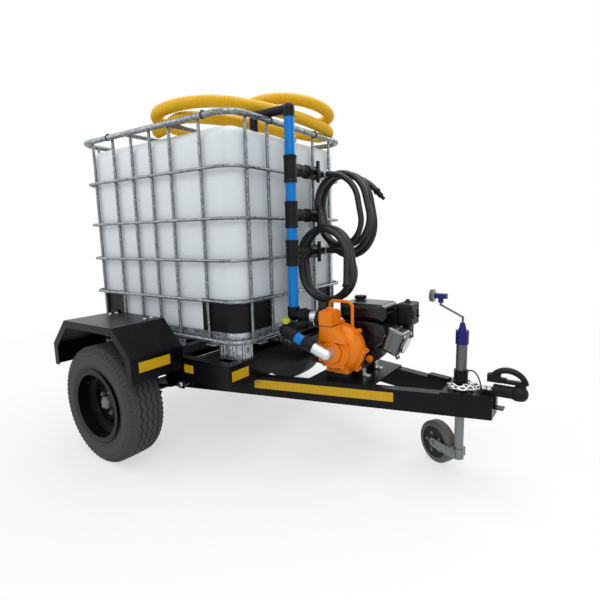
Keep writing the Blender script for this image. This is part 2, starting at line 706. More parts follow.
    @staticmethod
    def _apply(name: str, mesh: bpy.types.Mesh, tree: Tree, values: dict, finish: Finish, body: str,
               angle: float) -> bpy.types.Object:
        """Runs a tree over a mesh and keeps the result as a plain piece.

        Args:
            name: name of the piece.
            mesh: the mesh that carries the points.
            tree: the Geometry Nodes tree.
            values: values of the tree's inputs, by name, apart from its finish.
            finish: finish of the piece.
            body: the body that it rides on.
            angle: angle in degrees above which an edge stays sharp.

        Returns:
            The piece.
        """
        values = {**values, "Finish": finish.material(KIT)}
        carrier = bpy.data.objects.new(name + "_points", mesh)
        bpy.context.scene.collection.objects.link(carrier)
        modifier = carrier.modifiers.new("repeat", "NODES")
        modifier.node_group = tree
        for item in tree.interface.items_tree:
            if item.item_type == "SOCKET" and item.in_out == "INPUT" and item.name in values:
                modifier[item.identifier] = values[item.name]
        graph = bpy.context.evaluated_depsgraph_get()
        made = bpy.data.meshes.new_from_object(carrier.evaluated_get(graph), depsgraph=graph)
        carrier.modifiers.clear()
        bpy.data.objects.remove(carrier)
        made.name = name
        for label in ("axis", "side"):
            if label in made.attributes:
                made.attributes.remove(made.attributes[label])
        return dress(put_in(name, made, angle), finish, body)

    @staticmethod
    def _points(name: str, places: Sequence[Vector], **vectors: Sequence[Vector]) -> bpy.types.Mesh:
        """Makes a mesh of loose points with vector attributes."""
        mesh = bpy.data.meshes.new(name)
        mesh.from_pydata([tuple(p) for p in places], [], [])
        for label, values in vectors.items():
            store = mesh.attributes.new(label, "FLOAT_VECTOR", "POINT")
            store.data.foreach_set("vector", [c for v in values for c in v])
        return mesh

    def fasteners(self, name: str, places: Sequence[Vector], axes, radius: float, height: float, finish: Finish,
                  body: str = CHASSIS, sides: int = 6, washer: float = 1.5) -> bpy.types.Object:
        """Puts a head and washer at each place.

        Args:
            name: name of the piece.
            places: where the heads sit.
            axes: which way the heads stand, one for all or one for each.
            radius: radius of a head, in millimetres.
            height: height of a head, in millimetres.
            finish: finish of the heads.
            body: the body that they ride on.
            sides: sides of a head.
            washer: radius of the washer as a multiple of the head's.

        Returns:
            The piece.
        """
        axes = [axes] * len(places) if isinstance(axes, Vector) else axes
        values = {"Sides": sides, "Radius": radius / 1000, "Height": height / 1000,
                  "Washer": radius / 1000 * washer}
        mesh = self._points(name, places, axis=axes)
        return self._apply(name, mesh, self.heads, values, finish, body, 40)

    def chain(self, name: str, path: Sequence[Vector], length: float, width: float, wire: float,
              finish: Finish) -> bpy.types.Object:
        """Lays oval links along a path, each turned a quarter from the last.

        Args:
            name: name of the piece.
            path: one point for each link.
            length: length of a link's centre line, in millimetres.
            width: width of a link's centre line, in millimetres.
            wire: radius of the wire, in millimetres.
            finish: finish of the links.

        Returns:
            The piece.
        """
        along, faces = [], []
        for i in range(len(path)):
            t = (path[min(i + 1, len(path) - 1)] - path[max(i - 1, 0)]).normalized()
            flat = t.cross(UP)
            flat = flat.normalized() if flat.length > 1e-3 else LEFT
            turn = Matrix.Rotation(math.radians(40 if i % 2 else -50), 3, t)
            along.append(t)
            faces.append(turn @ t.cross(flat))
        values = {"Length": length / 1000, "Width": width / 1000, "Wire": wire / 1000}
        mesh = self._points(name, path, axis=faces, side=along)
        return self._apply(name, mesh, self.links, values, finish, CHASSIS, 60)

    def ribbed(self, name: str, path: Sequence[Vector], radius: float, depth: float, ribs: int,
               finish: Finish) -> bpy.types.Object:
        """Sweeps a ribbed tube along a path, with six rings of the mesh to a rib.

        Args:
            name: name of the piece.
            path: points of its centre line.
            radius: radius over the ribs, in millimetres.
            depth: depth between the ribs, in millimetres.
            ribs: number of ribs.
            finish: its finish.

        Returns:
            The piece.
        """
        mesh = bpy.data.meshes.new(name)
        mesh.from_pydata([tuple(p) for p in path], [(i, i + 1) for i in range(len(path) - 1)], [])
        values = {"Radius": radius / 1000, "Depth": depth / 1000, "Ribs": float(ribs), "Rings": ribs * 6 + 1,
                  "Sides": 24}
        return self._apply(name, mesh, self.ribs, values, finish, CHASSIS, 80)


REPEAT = Repeat()


def spline(points: Sequence[Sequence[float]], count: int) -> list[Vector]:
    """Runs a Catmull-Rom curve through points.

    Args:
        points: the points, in millimetres.
        count: number of steps.

    Returns:
        The curve's points, in millimetres.
    """
    p = [Vector(q) for q in points]
    found = []
    for k in range(count + 1):
        s = (len(p) - 1) * k / count
        i = min(int(s), len(p) - 2)
        t = s - i
        a, b, c, d = p[max(i - 1, 0)], p[i], p[i + 1], p[min(i + 2, len(p) - 1)]
        found.append(0.5 * (2 * b + (c - a) * t + (2 * a - 5 * b + 4 * c - d) * t * t
                            + (3 * b - a - 3 * c + d) * t * t * t))
    return found


def path_length(path: Sequence[Vector]) -> float:
    """Length of a path through its points."""
    return sum((b - a).length for a, b in zip(path, path[1:]))


def declare(piece: bpy.types.Object, solid: str, path: Sequence[Vector], diameter: float, **facts) -> None:
    """Declares a piece as a stiff free cord that stands for a solid.

    Args:
        piece: the hose or cable.
        solid: the solid's node.
        path: its centre line.
        diameter: its diameter, in millimetres.
        facts: its far end, its lay and the pieces on it.
    """
    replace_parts(piece, solid)
    tuple(path[0])
    path_length(path)
    [tuple(p) for p in path]


def collar(inner: float, outer: float, start: float, end: float, ease: float = 1.5,
           cut: float = 1.5) -> Profile:
    """Profile of a ring with cut outer edges.

    Args:
        inner: its inner radius.
        outer: its outer radius.
        start: where it starts along the axis.
        end: where it ends.
        ease: how long each cut is.
        cut: how deep each cut is.

    Returns:
        The profile, in millimetres.
    """
    return [(inner, start), (outer - cut, start), (outer, start + ease), (outer, end - ease),
            (outer - cut, end), (inner, end)]


@dataclass
class SuctionHose:
    """The ribbed yellow hose that lies in loops on the tank, its route given above the top rail."""

    rail_z: float = 1666.6
    diameter: float = 62.0
    rib_pitch: float = 13.0
    rib_depth: float = 3.4
    route: tuple[tuple[float, float, float], ...] = (
        (20, -432, -5), (95, -430, 10), (175, -400, 48), (250, -320, 52), (310, -200, 52), (350, -60, 50),
        (372, 90, 48), (365, 240, 47), (310, 370, 47), (200, 440, 48), (80, 440, 50), (-30, 385, 52),
        (-105, 285, 55), (-135, 150, 60), (-140, 0, 66), (-128, -150, 72), (-95, -290, 78), (-20, -395, 84),
        (90, -447, 90), (205, -430, 102), (310, -378, 108), (400, -300, 106), (470, -195, 98), (530, -75, 88),
        (580, 50, 72), (608, 180, 56), (600, 310, 50), (545, 415, 50), (445, 478, 56), (330, 478, 84),
        (215, 430, 118), (135, 325, 130), (115, 190, 136), (160, 60, 144), (265, -25, 154), (390, -48, 164),
        (505, -10, 168), (595, 80, 160), (632, 200, 146), (608, 325, 134), (530, 412, 130), (430, 455, 130))

    def build(self) -> None:
        path = [at(p.x, p.y, self.rail_z + p.z) for p in spline(self.route, 420)]
        ribs = round(path_length(path) * 1000 / self.rib_pitch)
        hose = REPEAT.ribbed("suction_hose_ribbed", path, self.diameter / 2, self.rib_depth, ribs, HOSE_YELLOW)
        declare(hose, "suction_hose", path, self.diameter, far_end="bare", lay="coiled")


@dataclass
class DeliveryHoses:
    """The two coiled black hoses that hang from the top and bottom branch valves, with their nozzles."""

    diameter: float = 30.0
    loops: int = 4
    steps: int = 48
    tail: tuple[float, float] = HOSE_TAIL
    tail_top_z: float = BRANCH_Z[2]
    tail_low_z: float = BRANCH_Z[0]
    upper_x: float = 766.0
    lower_x: float = 771.0
    lower_below: float = 75.0
    loop_side: float = 80.0
    half_share: float = 4.8
    bend_share: float = 4.0
    reach_share: float = 9.0
    end_turn: int = 48
    start_y: float = 8.0
    upper_lean: float = 15.0
    lower_lean: float = 10.0
    drop: float = 48.0
    back: float = 26.0
    lift: float = 14.0

    @property
    def half(self) -> float:
        """Half of a loop's width at its centre line."""
        return self.half_share * self.diameter

    @property
    def rise(self) -> float:
        """Height of a loop's top above its middle."""
        return self.loop_side / 2 + self.half

    @property
    def pitch(self) -> float:
        """Distance between neighbouring loops."""
        return self.diameter + 2

    @property
    def round_length(self) -> float:
        """Length of one loop."""
        return 2 * math.pi * self.half + 2 * self.loop_side

    def oval(self, share: float) -> tuple[float, float]:
        """Point of an upright oval loop.

        Args:
            share: share of the loop's length from its top, forwards and down.

        Returns:
            How far forwards and how far up it lies from the loop's middle.
        """
        d = (share - math.floor(share)) * self.round_length
        quarter, h, r = math.pi / 2 * self.half, self.loop_side / 2, self.half
        if d < quarter:
            return r * math.sin(d / r), h + r * math.cos(d / r)
        if d < quarter + 2 * h:
            return r, h - (d - quarter)
        if d < 3 * quarter + 2 * h:
            g = math.pi / 2 + (d - quarter - 2 * h) / r
            return r * math.sin(g), -h + r * math.cos(g)
        if d < 3 * quarter + 4 * h:
            return -r, -h + (d - 3 * quarter - 2 * h)
        g = 3 * math.pi / 2 + (d - 3 * quarter - 4 * h) / r
        return r * math.sin(g), h + r * math.cos(g)

    @staticmethod
    def swing(turn: float) -> float:
        """How far a turn swings forwards."""
        return 7 * math.sin(math.radians(140 * turn))

    @staticmethod
    def hang(turn: float) -> float:
        """How far a turn of the upper hose hangs."""
        late = max(0.0, turn - 0.6)
        return 3 + 10 * late + 8 * math.sin(math.radians(150 * turn)) * min(1.0, late)

    @staticmethod
    def ease(turn: float) -> float:
        """Share of the slack that this turn has taken up."""
        return math.sin(math.pi / 2 * min(1.0, turn))

    def leant(self, x: float, z: float, angle: float) -> tuple[float, float]:
        """Turns a loop's point about the loop's top, so that its bottom swings forwards.

        Args:
            x: how far forwards it lies.
            z: how far up it lies.
            angle: the turn, in degrees.

        Returns:
            The turned point.
        """
        c, s, down = math.cos(math.radians(angle)), math.sin(math.radians(angle)), self.rise - z
        return x * c + down * s, self.rise + x * s - down * c

    def upper(self) -> list[Vector]:
        """Route of the upper hose, in the row frame."""
        (tx, ty), top, mx = self.tail, self.tail_top_z, self.upper_x
        found = [at(tx, ty, top), at(tx + 0.4 * self.diameter, ty, top)]
        for k in range(1, self.loops * self.steps + 1):
            s = k / self.steps
            px, pz = self.oval(s + 0.03)
            x, z = self.leant(px, pz, self.upper_lean * self.ease(s) * self.ease(self.loops - s))
            found.append(at(mx + x + self.swing(s), ty + self.pitch * s + self.start_y * self.ease(s),
                            top - self.rise + z - (1 - pz / self.rise) * self.hang(s)))
        reach, x1 = self.reach_share * self.diameter, mx + self.swing(self.loops)
        for a in map(math.radians, range(18, self.end_turn + 1, 3)):
            found.append(at(x1 + reach * math.sin(a), ty + self.loops * self.pitch + self.start_y + 4,
                            top - reach * (1 - math.cos(a))))
        return found

    def lower(self) -> list[Vector]:
        """Route of the lower hose, in the row frame."""
        (tx, ty), top, mx = self.tail, self.tail_low_z, self.lower_x
        loops, bend, mz = self.loops - 1, self.bend_share * self.diameter, top - self.lower_below
        join = (math.pi / 2 * self.half + self.loop_side) / self.round_length
        found = [at(tx, ty, top)]
        for g in range(0, 91, 6):
            a = math.radians(g)
            found.append(at(mx + self.half - bend + bend * math.sin(a), ty - self.pitch * g / 360,
                            top - bend * (1 - math.cos(a))))
        for k in range(1, loops * self.steps + 1):
            s = k / self.steps
            free = math.sin(math.pi * s / loops)
            px, pz = self.oval(join + s - 0.02)
            x, z = self.leant(px, pz, self.lower_lean * free)
            hang = (1 - pz / self.rise) * (8 + 7 * math.sin(math.radians(150 * s)))
            found.append(at(mx + x - self.back * free, ty - self.pitch * (0.25 + s),
                            mz + z + free * (self.lift - hang)))
        for k in range(1, 5):
            found.append(at(mx + self.half, ty - self.pitch * (0.25 + loops + 0.04 * k),
                            mz - self.loop_side / 2 - k * self.drop / 4))
        return found

    @staticmethod
    def nozzle(name: str, path: Sequence[Vector]) -> bpy.types.Object:
        """Makes the coupling and spray tip on the end of a route."""
        profile = [(0, 0), (18, 0), (19, 1), (19, 5), (17.2, 6), (17.2, 8), (19, 9), (19, 13), (16, 14.5),
                   (13.2, 15), (13.2, 19), (14, 20), (14, 26), (12.6, 27), (12.6, 29), (14, 30), (14, 43),
                   (10, 45), (9, 47), (9, 60), (8.4, 65), (6, 66), (4, 65.5), (4, 50), (0, 50)]
        piece = Shape().lathe(profile, path[-1], path[-1] - path[-2], 32).build(name, BLACK_PLASTIC)
        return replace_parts(piece, "hose_nozzle")

    def build(self) -> None:
        for end, solid, path in (("top", "upper", self.upper()), ("bottom", "lower", self.lower())):
            name = f"delivery_hose_{end}_"
            hose = Shape().tube(path, self.diameter / 2).build(name + "coil", HOSE_BLACK, angle=60)
            tip = self.nozzle(name + "nozzle", path)
            declare(hose, f"delivery_hose_{solid}", path, self.diameter, far_end="fitting", lay="coiled",
                    with_pieces=[tip])


@dataclass
class BreakawayCable:
    """The short black cable between the jockey sleeve and the nose plate."""

    diameter: float = 6.5
    foot: tuple[float, float] = (1475.0, 418.0)
    route: tuple[tuple[float, float, float], ...] = (
        (26, -22, 74), (37, -27, 90), (53, -33, 97), (70, -39, 91), (85, -44, 72), (95, -48, 46), (99, -50, 20),
        (99, -50, 0))

    def build(self) -> None:
        path = [at(self.foot[0] + p.x, p.y, self.foot[1] + p.z) for p in spline(self.route, 48)]
        cable = Shape().tube(path, self.diameter / 2, 12).build("breakaway_cable_sheath", CABLE_BLACK, angle=60)
        declare(cable, "breakaway_cable", path, self.diameter, far_end="object", lay="loose")


@dataclass
class Tyre:
    """A trailer tyre with zigzag grooves, shoulder cuts and moulded sidewall rings."""

    side: int
    axle_x: float = AXLE_X
    radius: float = 300.0
    width: float = 190.0
    track: float = 1510.0
    bead: float = 165.0
    bead_in: float = 34.0
    zigzags: int = 36
    zigzag_w: float = 5.0
    notch_h: float = 5.0
    notch_share: float = 0.3
    crown: float = 2.2
    grooves: tuple[float, ...] = (-46.0, -16.0, 16.0, 46.0)
    groove_w: float = 8.0
    groove_h: float = 8.5
    steps: int = 288

    def section(self, turn: float) -> list[tuple[float, float]]:
        """Cross-section at one angle, from the inner bead over the tread to the outer bead, and back inside.

        Args:
            turn: share of the full turn.

        Returns:
            Radius and sideways place of each point, in millimetres.
        """
        wave = turn * self.zigzags
        zig = self.zigzag_w * (4 * abs(wave - math.floor(wave + 0.5)) - 1)
        notch = self.notch_h if (wave * 2) % 1 < self.notch_share else 0.0
        r, h, bead = self.radius, self.width / 2, self.bead
        above = ((0, 24), (4, 17), (16, 14), (30, 7), (44, 2.5), (45, 1), (48, 1), (49, 1.8), (70, 0),
                 (84, 0.6), (85, 2.4), (92, 2.6), (93, 1.4))
        wall = [(bead + up, h - back) for up, back in above]
        wall += [(r - 30, h - 3.5), (r - 22 - notch, h - 6 - notch * 0.6), (r - 12 - notch, h - 10 - notch),
                 (r - 5.5 - notch, h - 17), (r - self.crown, h - 24)]
        tread: list[tuple[float, float]] = []
        for middle in self.grooves:
            y, w, low = middle + zig, self.groove_w / 2, r - self.groove_h
            top = r - self.crown * (y / h) ** 2
            tread += [(top, y - w), (low, y - w + 1.2), (low, y + w - 1.2), (top, y + w)]
        inside = [(bead, h - self.bead_in), (bead, self.bead_in - h)]
        return [(a, -b) for a, b in wall] + tread + wall[::-1] + inside

    def build(self) -> None:
        """Makes the tyre in place of its plain solid."""
        centre = at(self.axle_x, self.side * self.track / 2, self.radius)
        rings = [[centre + Vector((r * math.cos(a) / 1000, y / 1000, r * math.sin(a) / 1000))
                  for r, y in self.section(k / self.steps)] for k, a in enumerate(turns(self.steps))]
        name = hand(self.side)
        tyre = Shape().skin(rings, True).build(f"tyre_tread_{name}", TYRE, f"wheel_{name}", angle=38)
        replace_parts(tyre, f"tyre_{name}")


@dataclass
class Bottle:
    """The white bottle inside the cage: rounded corners, soft edges, raised corners on its top."""

    length: float = 1143.6
    width: float = 943.6
    low: float = 616.0
    high: float = 1626.0
    corner: float = 82.0
    edge: float = 58.0
    crown: float = 22.0
    crown_r: float = 190.0
    crown_in: float = 14.0
    side_steps: int = 20
    corner_steps: int = 12
    edge_steps: int = 8
    rows: int = 24
    outlet: tuple[float, float, float] = (568.0, 0.0, OUTLET_Z)

    def outline(self, inset: float) -> list[tuple[float, float]]:
        """Rounded rectangle drawn in by an inset, as points in order."""
        hl, hw, r = self.length / 2 - inset, self.width / 2 - inset, max(self.corner - inset, 12.0)
        corners = ((1, 1), (-1, 1), (-1, -1), (1, -1))

        def spot(corner: int, turn: float) -> tuple[float, float]:
            """Point at a share of a corner's quarter turn."""
            a, (sx, sy) = math.pi / 2 * (corner + turn), corners[corner % 4]
            return sx * (hl - r) + r * math.cos(a), sy * (hw - r) + r * math.sin(a)

        found = []
        for k in range(4):
            found += [spot(k, i / self.corner_steps) for i in range(self.corner_steps + 1)]
            (x0, y0), (x1, y1) = spot(k, 1), spot(k + 1, 0)
            for t in (i / self.side_steps for i in range(1, self.side_steps)):
                found.append((x0 + (x1 - x0) * t, y0 + (y1 - y0) * t))
        return found

    def top(self, x: float, y: float) -> float:
        """Height of the top over the bottle's flat, with the four raised corners."""
        reach = self.crown_r + self.crown_in
        d = math.hypot(abs(x) - self.length / 2 + reach, abs(y) - self.width / 2 + reach) / self.crown_r
        return max(0.0, self.crown * (1 - d * d))

    def build(self) -> None:
        """Makes the bottle in place of its plain solid, and its neck and spout."""
        e, bends = self.edge, [math.pi / 2 * i / self.edge_steps for i in range(self.edge_steps + 1)]
        inner = range(1, self.rows)
        levels = [(e * (1 - math.sin(a)), self.low + e * (1 - math.cos(a))) for a in bends]
        levels += [(0.0, self.low + e + (self.high - self.low - 2 * e) * i / self.rows) for i in inner]
        levels += [(e * (1 - math.cos(a)), self.high - e * (1 - math.sin(a))) for a in bends]
        rings = [[at(x, y, z) for x, y in self.outline(inset)] for inset, z in levels]
        rim = self.outline(e)
        for t in (1 - i / self.rows for i in inner):
            rings.append([at(x * t, y * t, self.high + self.top(x * t, y * t)) for x, y in rim])
        bottle = Shape().skin(rings).build("bottle_shell", BOTTLE, angle=60)
        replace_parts(bottle, "tank_bottle")
        neck = [(70, 0), (83, 0), (83, 26), (70, 26)]
        Shape().lathe(neck, at(0, 0, self.high - 1), UP).build("filler_neck", BOTTLE)
        spout = [(25, 0), (30, 0), (30, 50), (25, 50)]
        Shape().lathe(spout, at(*self.outlet), AHEAD, 32).build("outlet_spout", BOTTLE)


@dataclass
class LeafSpring:
    """Three leaves between the chassis hangers and the axle, in two halves that bend as the axle moves."""

    side: int
    axle_x: float = AXLE_X
    offset: float = 540.0
    span: float = 620.0
    rise: float = 36.0
    thick: float = 8.0
    width: float = 50.0
    lap: float = 0.3
    main_z: float = 340.7
    seat: float = 60.0
    steps: int = 24

    def eye(self, way: int, out: float = 0.0) -> Vector:
        """Centre of an eye, or a point out along its pin."""
        x, z = self.axle_x + way * self.span / 2, self.main_z + self.rise + self.thick
        return at(x, self.side * self.offset + out, z)

    def half(self, way: int) -> Shape:
        """Leaves and eye of one half.

        Args:
            way: 1 for the front half, -1 for the rear half.

        Returns:
            The half's shape.
        """
        radius = (self.span ** 2 / 4 + self.rise ** 2) / (2 * self.rise)
        y, shape = self.side * self.offset, Shape()
        for below, span in enumerate((self.span - 20, 0.72 * self.span, 0.44 * self.span)):
            outer = radius + below * (self.thick - self.lap)
            limit = math.asin(span / 2 / radius)
            rings = []
            for i in range(self.steps + 1):
                a = limit * i / self.steps
                w = (self.width - 1 - 1.2 * below) / 2 * (1 if i < self.steps else 0.86)
                corners = ((outer, -w), (outer, w), (outer - self.thick, w), (outer - self.thick, -w))
                rings.append([at(self.axle_x + way * r * math.sin(a), y + s,
                                 self.main_z + radius - r * math.cos(a)) for r, s in corners])
            shape.skin(rings)
        eye = [(8.3, -25), (12.6, -25), (14, -23.6), (14, 23.6), (12.6, 25), (8.3, 25)]
        return shape.lathe(eye, self.eye(way), LEFT, 32)

    def build(self) -> None:
        """Makes both halves and their pins in place of the plain spring."""
        name, y, pins = hand(self.side), self.side * self.offset, Shape()
        for way, end in ((1, "front"), (-1, "rear")):
            piece = self.half(way).build(f"spring_{name}_{end}", BLACK_PAINT, angle=30)
            piece.parent = None
            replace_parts(piece, f"leaf_spring_{name}")
            tuple(self.eye(way))
            tuple(at(self.axle_x + way * self.seat, y, self.main_z))
            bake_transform(piece)
            pins.tube([self.eye(way, s * 36) for s in (-1, 1)], 8, 20)
        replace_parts(pins.build(f"spring_pins_{name}", PLATED), f"leaf_spring_{name}")
        ends = [(way, s) for way in (1, -1) for s in (1, -1)]
        REPEAT.fasteners(f"spring_pin_heads_{name}", [self.eye(way, s * 33.5) for way, s in ends],
                         [LEFT * s for _, s in ends], 11.5, 9, PLATED, washer=1.35)


@dataclass
class WheelTrim:
    """Grease cap, tyre valve, disc swage and rim lip of one wheel."""

    side: int
    axle_x: float = AXLE_X
    hub_z: float = 300.0
    face: float = 767.0
    rim_r: float = 181.0
    valve_r: float = 142.0
    valve_turn: float = 2.2
    valve_out: float = 800.0
    valve_length: float = 38.0

    def build(self) -> None:
        """Makes the pieces on the wheel's body."""
        name, out, hub = hand(self.side), LEFT * self.side, at(self.axle_x, 0, self.hub_z)
        cap = [(0, 46), (8, 45.5), (20, 43.5), (26, 40), (28.5, 36), (31.5, 35), (31.5, 31), (30.2, 30),
               (30.2, 12), (0, 12)]
        lip = [(-7, 84.5), (-4, 87.5), (0, 88), (2.6, 85.5), (1.5, 82), (-3, 81)]
        swage = [(118, 12), (120, 15), (124, 16), (128, 14), (129, 9), (127, 6), (120, 6)]
        for piece, finish, steps, profile in (
                ("grease_cap", HUB_GREY, 40, cap),
                ("rim_lip", BLACK_PAINT, 96, [(self.rim_r + r, d) for r, d in lip]),
                ("disc_swage", BLACK_PAINT, 80, swage)):
            Shape().lathe([(r, self.face + d) for r, d in profile], hub, out, steps).build(
                f"{piece}_{name}", finish, f"wheel_{name}")
        ray = Vector((math.cos(self.valve_turn), 0, math.sin(self.valve_turn))) / 1000
        foot = hub + ray * self.valve_r + out * (self.valve_out / 1000)
        tip = foot - ray * 12 + out * (self.valve_length / 1000)
        stem = Shape().tube([foot.lerp(tip, t) for t in (0, 0.4, 0.42, 0.7, 0.72, 1)],
                            (5.5, 4.8, 3.6, 3.6, 4.4, 4.2), 12)
        stem.build(f"tyre_valve_{name}", CABLE_BLACK, f"wheel_{name}", "tyre_rubber")


@dataclass
class CageTrim:
    """Weld spots at the cage's crossings, ties on its top rail, and the pressed flutes of the pallet's feet."""

    half_l: float = 600.0
    half_w: float = 500.0
    inset: float = 16.2
    rows: tuple[float, ...] = (812.0, 1008.0, 1204.0, 1436.0)
    side_bars: tuple[float, ...] = (-0.807, -0.49, -0.223, 0.032, 0.283, 0.635)
    end_bars: tuple[float, ...] = (-0.778, -0.458, -0.09, 0.36, 0.71)
    foot: tuple[float, float] = (160.0, 110.0)
    foot_out: tuple[float, float] = (571.8, 471.8)
    foot_z: tuple[float, float] = (533.0, 604.0)
    flutes: tuple[float, ...] = (-0.62, -0.31, 0.31, 0.62)
    rail_z: float = 1668.0
    tie_r: float = 14.2

    def welds(self) -> None:
        """Lays a flattened spot on each crossing of the bars."""
        spots, sunk = [], self.inset / 2 + 4
        for z in self.rows:
            for s in (-1, 1):
                spots += [(at(k * self.half_l, s * (self.half_w - sunk), z), LEFT * s) for k in self.side_bars]
                spots += [(at(s * (self.half_l - sunk), k * self.half_w, z), AHEAD * s) for k in self.end_bars]
        REPEAT.fasteners("cage_weld_spots", *zip(*spots), 9.8, 8, GALVANISED, sides=14, washer=1.22)

    def feet(self) -> None:
        """Presses flutes and a round dimple into the outer faces of the pallet's feet."""
        flutes, spots, (low, high) = [], [], self.foot_z
        hx, hy = self.foot[0] / 2, self.foot[1] / 2
        for sx, sy in ((sx, sy) for sx in (-1, 0, 1) for sy in (-1, 0, 1) if sx or sy):
            cx, cy = sx * (self.foot_out[0] - hx), sy * (self.foot_out[1] - hy)
            if sx:
                flutes += [at(cx + sx * (hx - 1.6), cy + t * (hy - 8), low) for t in self.flutes]
                spots.append((at(cx + sx * (hx - 1), cy, (low + high) / 2), AHEAD * sx))
            if sy:
                flutes += [at(cx + t * (hx - 8), cy + sy * (hy - 1.6), low) for t in self.flutes]
                spots.append((at(cx, cy + sy * (hy - 1), (low + high) / 2), LEFT * sy))
        REPEAT.fasteners("pallet_foot_flutes", flutes, UP, 5.2, high - low, PALLET_SHEET, sides=12, washer=0.5)
        REPEAT.fasteners("pallet_foot_dimples", *zip(*spots), 9.5, 3.5, PALLET_SHEET, sides=20, washer=1.45)

    def ties(self) -> None:
        """Loops the black ties that hold the hose and the riser to the top rail."""
        shape, r, z = Shape(), self.tie_r, self.rail_z
        for x, y, along in ((430, -500, True), (-310, -500, True), (600, 180, False), (600, -225, False)):
            for step in (-4, 4):
                ring = [(r * math.cos(a), z + r * math.sin(a)) for a in turns(24)]
                loop = [at(x + step, y + out, up) if along else at(x + out, y + step, up) for out, up in ring]
                shape.tube(loop, 2.2, 8, closed=True)
            shape.box(at(x, y, z + 16), (14, 14, 8))
        shape.build("rail_ties", CABLE_BLACK, slot="black_plastic")

    def build(self) -> None:
        """Makes the cage's and the pallet's small detail."""
        self.welds()
        self.feet()
        self.ties()


@dataclass
class PipeTrim:
    """Ribbed union nuts, socket rims and hose clips on the pipes."""

    riser: tuple[float, float] = (715.0, -225.0)
    tees: tuple[float, ...] = BRANCH_Z
    tee_h: float = 123.0
    tail: tuple[float, float] = HOSE_TAIL
    nut_spans: tuple[tuple[float, float, float], ...] = (
        (-168, -142, 29.5), (-137, -122, 26.5), (-118, -101, 29))
    discharge_z: float = 728.0
    outlet_z: float = OUTLET_Z
    suction: tuple[tuple[float, float, float], ...] = ((SHAFT[0], -278, SHAFT[1]), (720, -303, OUTLET_Z))

    def rims(self) -> None:
        """Rounds the mouths of the tees with thicker rims."""
        shape = Shape()
        rim = [(25.3, -1.5), (31.2, -1.5), (32.2, -0.5), (32.2, 12), (31, 14), (25.3, 14)]
        for z in self.tees:
            for s in (-1, 1):
                shape.lathe(rim, at(*self.riser, z + s * self.tee_h / 2), UP * -s, 40)
        shape.build("tee_rims", BLACK_PLASTIC)

    def nuts(self) -> None:
        """Puts ribbed nuts on the branches and at both ends of the valve bodies."""
        body, x = Shape(), self.riser[0]
        ribs: dict[float, list[Vector]] = {}
        for z in self.tees:
            for y0, y1, r in self.nut_spans:
                body.lathe(collar(21, r, y0, y1, 3, 3), at(x, 0, z), LEFT, 36)
                ribs.setdefault(y1 - y0 - 6, []).extend(
                    at(x + (r - 0.6) * math.cos(g), y0 + 3, z + (r - 0.6) * math.sin(g)) for g in turns(18))
        body.build("branch_union_nuts", BLACK_PLASTIC)
        for index, (length, places) in enumerate(sorted(ribs.items()), 1):
            REPEAT.fasteners(f"branch_nut_ribs_{index}", places, LEFT, 2.1, length, BLACK_PLASTIC, washer=0.4)

    def clips(self) -> None:
        """Clamps a worm-drive clip round each hose tail."""
        shape, (x, y) = Shape(), self.tail
        for z in (self.tees[0], self.tees[2]):
            shape.lathe([(16.1, -18), (17.1, -18), (17.1, -7), (16.1, -7)], at(x, y, z), AHEAD, 40)
            shape.box(at(x - 12.5, y + 6, z + 19), (13, 18, 8))
            shape.tube([at(x - 12.5, y - 8, z + 19), at(x - 12.5, y - 3, z + 19)], 4.2, 6)
        shape.build("hose_clips", PLATED, bevel=0.6)

    def sockets(self) -> None:
        """Adds the raised collars along the black suction and discharge fittings."""
        shape, foot = Shape(), at(*self.riser, self.discharge_z)
        for x0, x1, r in ((37, 51, 33.5), (71, 86, 33.5), (91, 107, 30.5)):
            shape.lathe(collar(24, r, x0, x1), foot, AHEAD, 40)
        start, end = (at(*p) for p in self.suction)
        for share, r in ((0.3, 33), (0.49, 33), (0.75, 33), (0.86, 32.4)):
            shape.lathe(collar(24, r, 0, 13.5), start.lerp(end, share), end - start, 40)
        for y in (-270, -160, -40):
            shape.lathe(collar(24, 33, y, y + 16, 2), at(720, 0, self.outlet_z), LEFT, 40)
        shape.build("pipe_collars", BLACK_PLASTIC)
        ring = Shape().lathe(collar(25, 45, 59, 73, 2), at(569, 0, self.outlet_z), AHEAD, 40)
        ring.build("outlet_ring", BLACK_PLASTIC)

    def build(self) -> None:
        """Makes the pipes' small detail."""
        self.rims()
        self.nuts()
        self.clips()
        self.sockets()


